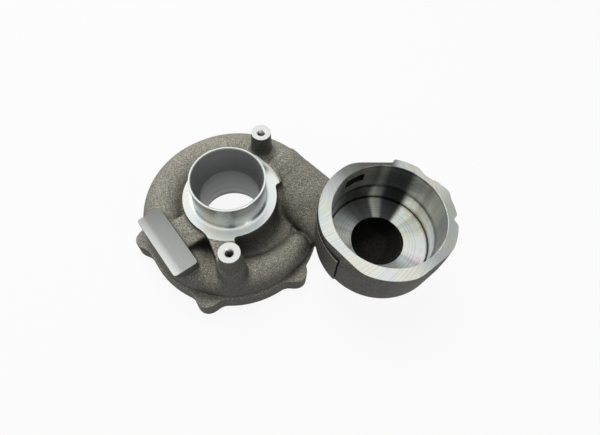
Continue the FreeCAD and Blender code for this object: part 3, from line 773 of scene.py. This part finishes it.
def painted_step_shade(add, height, lines):
    """Painted shade lines at steps in a bore: (height, half width, shade) for each."""
    shade = None
    for line, width, tone in lines:
        away = add("Math", {0: height, 1: line * MM}, operation="SUBTRACT").outputs["Value"]
        away = add("Math", {0: away}, operation="ABSOLUTE").outputs["Value"]
        reach = {"From Min": 0.4 * width * MM, "From Max": width * MM, "To Min": tone, "To Max": 1.0}
        here = add("MapRange", {"Value": away, **reach}).outputs["Result"]
        if shade is None:
            shade = here
        else:
            shade = add("Math", {0: shade, 1: here}, operation="MINIMUM").outputs["Value"]
    return shade


def tones_over(add, measure, stops):
    """Shade that follows a measure: (millimetres, shade) pairs in rising order."""
    low, high = stops[0][0], stops[-1][0]
    share = add("MapRange", {"Value": measure, "From Min": low * MM, "From Max": high * MM}).outputs["Result"]
    return ramp(add, share, [((stop - low) / (high - low), tone) for stop, tone in stops])


def times(add, colour, shade, share=1.0):
    """A colour multiplied by a shade, fully or in part."""
    inputs = {"Fac": share, "Color1": colour, "Color2": shade}
    return add("MixRGB", inputs, blend_type="MULTIPLY").outputs["Color"]


# Shades round the cup's axis, listed as (angle, shade). They are painted stand-ins for the bright
# and dark reflections that the photograph shows in sectors on rim, wall and floor.
RIM_TURNS = ((-180, 0.85), (-150, 1.0), (-90, 1.0), (-60, 0.90), (-35, 0.52), (25, 0.50), (50, 0.78),
             (88, 0.70), (96, 0.15), (125, 0.17), (146, 0.30), (160, 0.60), (180, 0.85))
WALL_TURNS = ((-180, 0.30), (-90, 0.50), (-55, 0.75), (-38, 1.6), (-26, 1.3), (-12, 0.48), (16, 0.52),
              (38, 0.95), (67, 0.72), (73, 0.16), (95, 0.18), (101, 0.55), (107, 0.18), (150, 0.20),
              (165, 0.50), (180, 0.30))
FLOOR_TURNS = ((-180, 0.55), (-140, 0.34), (-100, 0.30), (-64, 0.30), (-46, 0.34), (-30, 0.70), (-16, 1.2),
               (40, 1.2), (66, 1.1), (72, 0.10), (92, 0.12), (99, 0.60), (106, 0.62), (112, 0.10),
               (140, 0.14), (160, 0.50), (180, 0.55))
RIM_CUTTER_SHIFT = -55.0

# Share of a turn that lays the brushing along the tangent.
BRUSH_TURN = 0.25


def seat_tones(add, flat, radius, height):
    """Painted reflection: the tube's outside is set duller than its edge and the seat."""
    return [tones_over(add, radius, ((24.6, 1.0), (24.95, 0.5), (25.4, 0.5), (26.8, 1.0)))]


def bore_tones(add, flat, radius, height):
    """Painted shade: the step and the wall above it are set darker than the throat."""
    stops = ((THROAT + 0.05, 1.0), (THROAT + 0.4, 0.58), (radius_of("inlet_bore"), 0.74))
    return [tones_over(add, radius, stops)]


def cup_tones(add, flat, radius, height):
    """Painted sectors on wall and floor, streaks down the wall, feed rings and painted shade at the steps."""
    top, middle, deep = [CUP_RIM - depth for _, depth in CUP_LEVELS]
    above = add("Math", {0: height, 1: top * MM}, operation="GREATER_THAN").outputs["Value"]
    wall, floor = around(add, flat, WALL_TURNS), around(add, flat, FLOOR_TURNS)
    sectors = add("MixRGB", {"Fac": above, "Color1": floor, "Color2": wall}).outputs["Color"]
    heading = add("VectorMath", {0: flat}, operation="NORMALIZE").outputs["Vector"]
    streaks = ramp(add, noise(add, heading, 3.5, 3.0, 0.6), [(0.38, 0.74), (0.50, 1.0), (0.64, 1.15)])
    travel = add("Math", {0: radius, 1: height}, operation="ADD").outputs["Value"]
    feed = ramp(add, line_noise(add, travel, 1000.0, 2.0, 0.7), [(0.36, 0.70), (0.56, 1.05)])
    lines = ((top, 0.9, 0.35), (middle, 0.3, 0.10), (deep + FLOOR_LINE, 0.3, 0.15))
    return [sectors, streaks, feed, painted_step_shade(add, height, lines)]


def rim_tones(add, flat, radius, height):
    """Painted sectors, and the arcs of a wide cutter whose axis lay beside the cup's."""
    sweep = axis_coordinates(add, CUP_X + RIM_CUTTER_SHIFT)[1]
    arcs = ramp(add, line_noise(add, sweep, 900.0, 2.0, 0.8), [(0.38, 0.80), (0.55, 1.0)])
    return [around(add, flat, RIM_TURNS), arcs]


def turned_finish(name, x, colour, rough, anisotropy, tint=0.0, tones=None, metallic=1.0):
    """Lathe-turned metal: fine rings, brushed along the turning direction, with a faint play of colours."""
    material, add, link, shader = new_finish(name)
    flat, radius, height, tangent = axis_coordinates(add, x)
    travel = add("Math", {0: radius, 1: height}, operation="ADD").outputs["Value"]
    rings = line_noise(add, travel, 2600.0, 3.0, 0.7)
    bands = line_noise(add, travel, 260.0)
    shade = ramp(add, rings, [(0.3, tuple(c * 0.82 for c in colour)), (0.7, colour)])
    if tint:
        hue = noise(add, flat, 48.0, 2.0, 0.6)
        sheen = ramp(add, hue, [(0.30, (1.0, 0.90, 0.84)), (0.44, (0.96, 1.0, 0.90)),
                                (0.56, (0.88, 0.97, 1.0)), (0.70, (1.0, 0.90, 0.97))])
        shade = times(add, shade, sheen, tint)
    for tone in tones(add, flat, radius, height) if tones else ():
        shade = times(add, shade, tone)
    link(shade, "Base Color")
    link(ramp(add, bands, [(0.3, rough * 0.8), (0.7, min(1.0, rough * 1.25))]), "Roughness")
    link(add("Bump", {"Height": rings, "Strength": 0.35, "Distance": 0.00006}).outputs["Normal"], "Normal")
    link(tangent, "Tangent")
    shader.inputs["Metallic"].default_value = metallic
    shader.inputs["Anisotropic"].default_value = anisotropy
    shader.inputs["Anisotropic Rotation"].default_value = BRUSH_TURN
    return material


def milled_finish(name, angle, colour, rough, across=(), along=()):
    """Milled metal: fine straight scratches at an angle, with tones across and along them."""
    material, add, link, shader = new_finish(name)
    turn = {"Vector": add("TexCoord").outputs["Object"], "Angle": -math.radians(angle)}
    turned = add("VectorRotate", turn, rotation_type="Z_AXIS").outputs["Vector"]
    stretched = add("VectorMath", {0: turned, 1: (0.03, 1, 1)}, operation="MULTIPLY").outputs["Vector"]
    scratches = noise(add, stretched, 2400.0, 3.0, 0.7)
    cloud = noise(add, stretched, 160.0)
    shade = ramp(add, scratches, [(0.3, tuple(c * 0.86 for c in colour)), (0.7, colour)])
    for direction, stops in (("Y", across), ("X", along)):
        if stops:
            offset = add("SeparateXYZ", {"Vector": turned}).outputs[direction]
            shade = times(add, shade, tones_over(add, offset, stops))
    link(shade, "Base Color")
    link(ramp(add, cloud, [(0.3, rough * 0.8), (0.7, rough * 1.2)]), "Roughness")
    link(add("Bump", {"Height": scratches, "Strength": 0.3, "Distance": 0.00006}).outputs["Normal"], "Normal")
    shader.inputs["Metallic"].default_value = 1.0
    return material


def pad_finish():
    """Milled pad, whose painted tones stand in for the bright reflection along its outer edge."""
    pad, turn, half = place("pad_face"), math.radians(PAD_ANGLE), PAD_WIDTH / 2
    line = pad.y * math.cos(turn) - pad.x * math.sin(turn)
    start = pad.x * math.cos(turn) + pad.y * math.sin(turn) - PAD_LENGTH / 2
    across = [(line - half, 1.0), (line - half * 0.65, 0.84), (line - half * 0.3, 0.52), (line + half, 0.46)]
    along = [(start, 0.66), (start + PAD_LENGTH * 0.35, 0.86), (start + PAD_LENGTH, 1.06)]
    return milled_finish("milled_pad", PAD_ANGLE, (0.78, 0.81, 0.78), 0.32, across, along)


def finishes():
    """All materials by the names that the cutters use."""
    return {
        "cast": cast_finish(),
        "seat": turned_finish("turned_seat", 0.0, (0.93, 0.95, 0.94), 0.28, 0.5, 0.6, seat_tones),
        "bore": turned_finish("turned_bore", 0.0, (0.32, 0.325, 0.325), 0.46, 0.2, 0.0, bore_tones, 0.55),
        "cup": turned_finish("turned_cup", CUP_X, (0.98, 0.98, 0.95), 0.36, 0.85, 1.0, cup_tones),
        "rim": turned_finish("milled_rim", CUP_X, (0.88, 0.88, 0.85), 0.26, 0.5, 0.8, rim_tones),
        "milled": milled_finish("milled_flange", 20.0, (0.46, 0.46, 0.45), 0.34),
        "pad": pad_finish(),
        "top": milled_finish("milled_top", 0.0, (0.78, 0.79, 0.77), 0.38),
        "dark": painted_shade_finish(),
        "thread": turned_finish("tapped_thread", 0.0, (0.46, 0.45, 0.43), 0.30, 0.0),
    }


# The casting

def applied(piece):
    """The piece's mesh with its modifiers worked in."""
    bpy.context.view_layer.update()
    finished = bpy.data.meshes.new_from_object(piece.evaluated_get(bpy.context.evaluated_depsgraph_get()))
    piece.modifiers.clear()
    piece.data = finished


def thinned(piece, share):
    """Fewer faces where the surface is nearly flat."""
    thin = piece.modifiers.new("thin", "DECIMATE")
    thin.ratio = share
    applied(piece)


def cut_all(blank, cuts, looks):
    """Take the cutters from the blank, one after the other, and keep each finish where it cut."""
    blank.data.materials.append(looks["cast"])
    for cutter, finish in cuts:
        cutter.data.materials.append(looks[finish])
        modifier = blank.modifiers.new("cut", "BOOLEAN")
        modifier.operation, modifier.solver, modifier.object = "DIFFERENCE", "MANIFOLD", cutter
        modifier.material_mode = "TRANSFER"
    applied(blank)
    for cutter, _ in cuts:
        bpy.data.objects.remove(cutter)


casting = surface_mesh(cast_field(), "casting")
thinned(casting, KEPT_FACES)
cut_all(casting, machining(), finishes())
casting.data.shade_smooth()
casting.data.set_sharp_from_angle(angle=math.radians(SHARP_ANGLE))
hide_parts(NODE)
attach(casting, "root")


# Floor, light and camera

FLOOR_REACH, FLOOR_HEIGHT, FLOOR_SHADE, FLOOR_GLOW = 2500, -0.2, 0.4, 0.92
AMBIENT, SEEN_WHITE = 0.10, 0.90
SEEN_RAYS = ("Is Camera Ray", "Is Glossy Ray", "Is Transmission Ray")

# Name, place, target and size in metres, and watts of each lamp. The key stays out of reflections.
LAMPS = (
    ("key", (-0.22, 0.30, 0.98), (0.04, 0, 0.03), (0.5, 0.5), 10.0),
    ("left", (-0.86, 0.40, 0.46), (0.04, 0, 0.03), (1.4, 0.35), 5.0),
    ("right", (0.80, -0.52, 0.46), (0.0, 0, 0.03), (0.16, 0.4), 0.8),
)

# The camera's place in millimetres, its right, up and backward directions, and its lens.
CAMERA_SPOT = (70.1, -146.0, 304.5)
CAMERA_AXES = ((0.970, 0.238, 0.057), (-0.235, 0.845, 0.480), (0.066, -0.479, 0.876))
SENSOR_WIDTH, FOCAL_LENGTH, CLIP_START, CLIP_END = 36.0, 26.4, 0.01, 20.0


def pale_floor():
    """Ground that is plain white for the camera and in reflections, and keeps the shadow."""
    r, z = FLOOR_REACH, FLOOR_HEIGHT
    floor = mesh_object("floor", [(-r, -r, z), (r, -r, z), (r, r, z), (-r, r, z)], [(0, 1, 2, 3)])
    material, add, _, shader = new_finish("pale_floor")
    shader.inputs["Base Color"].default_value = (FLOOR_SHADE, FLOOR_SHADE, FLOOR_SHADE, 1)
    shader.inputs["Roughness"].default_value = 1.0
    shader.inputs["Specular IOR Level"].default_value = 0.0
    rays = add("LightPath").outputs
    camera, glossy, transmission = [rays[kind] for kind in SEEN_RAYS]
    seen = add("Math", {0: camera, 1: glossy}, operation="MAXIMUM").outputs["Value"]
    seen = add("Math", {0: seen, 1: transmission}, operation="MAXIMUM").outputs["Value"]
    share = add("Math", {0: seen, 1: FLOOR_GLOW}, operation="MULTIPLY").outputs["Value"]
    glow = add("Emission", {"Color": (1, 1, 1, 1), "Strength": 1.0}).outputs["Emission"]
    mixed = add("MixShader", {0: share, 1: shader.outputs["BSDF"], 2: glow}).outputs["Shader"]
    material.node_tree.links.new(mixed, material.node_tree.nodes["Material Output"].inputs["Surface"])
    floor.data.materials.append(material)


def area_light(name, spot, target, size, watts):
    """Rectangular lamp that looks at its target."""
    lamp = bpy.data.lights.new(name, "AREA")
    lamp.shape, lamp.size, lamp.size_y, lamp.energy = "RECTANGLE", size[0], size[1], watts
    holder = bpy.data.objects.new(name, lamp)
    holder.location = Vector(spot)
    holder.rotation_euler = (Vector(target) - Vector(spot)).to_track_quat("-Z", "Y").to_euler()
    holder.visible_glossy = name != "key"
    bpy.context.scene.collection.objects.link(holder)


def white_world():
    """World that is plain white where it is seen, and lights the object only softly."""
    world = bpy.data.worlds.new("studio")
    world.use_nodes = True
    tree = world.node_tree
    rays = tree.nodes.new("ShaderNodeLightPath")
    strength = tree.nodes.new("ShaderNodeMath")
    strength.operation = "MULTIPLY_ADD"
    seen = None
    for kind in SEEN_RAYS:
        most = tree.nodes.new("ShaderNodeMath")
        most.operation = "MAXIMUM"
        tree.links.new(rays.outputs[kind], most.inputs[0])
        if seen:
            tree.links.new(seen, most.inputs[1])
        seen = most.outputs["Value"]
    tree.links.new(seen, strength.inputs[0])
    strength.inputs[1].default_value = SEEN_WHITE
    strength.inputs[2].default_value = AMBIENT
    background = tree.nodes["Background"]
    tree.links.new(strength.outputs["Value"], background.inputs["Strength"])
    background.inputs["Color"].default_value = (1, 1, 1, 1)
    bpy.context.scene.world = world


def photo_camera():
    """Camera of the photograph, from its place, directions and lens."""
    lens = bpy.data.cameras.new("photo_camera")
    lens.sensor_width, lens.lens = SENSOR_WIDTH, FOCAL_LENGTH
    lens.clip_start, lens.clip_end = CLIP_START, CLIP_END
    holder = bpy.data.objects.new("photo_camera", lens)
    turn = Matrix(CAMERA_AXES).transposed().to_quaternion().to_matrix()
    holder.matrix_world = Matrix.Translation(Vector(CAMERA_SPOT) * MM) @ turn.to_4x4()
    bpy.context.scene.collection.objects.link(holder)
    bpy.context.scene.camera = holder


pale_floor()
white_world()
for lamp_facts in LAMPS:
    area_light(*lamp_facts)
photo_camera()
bpy.context.scene.view_settings.view_transform = "Standard"
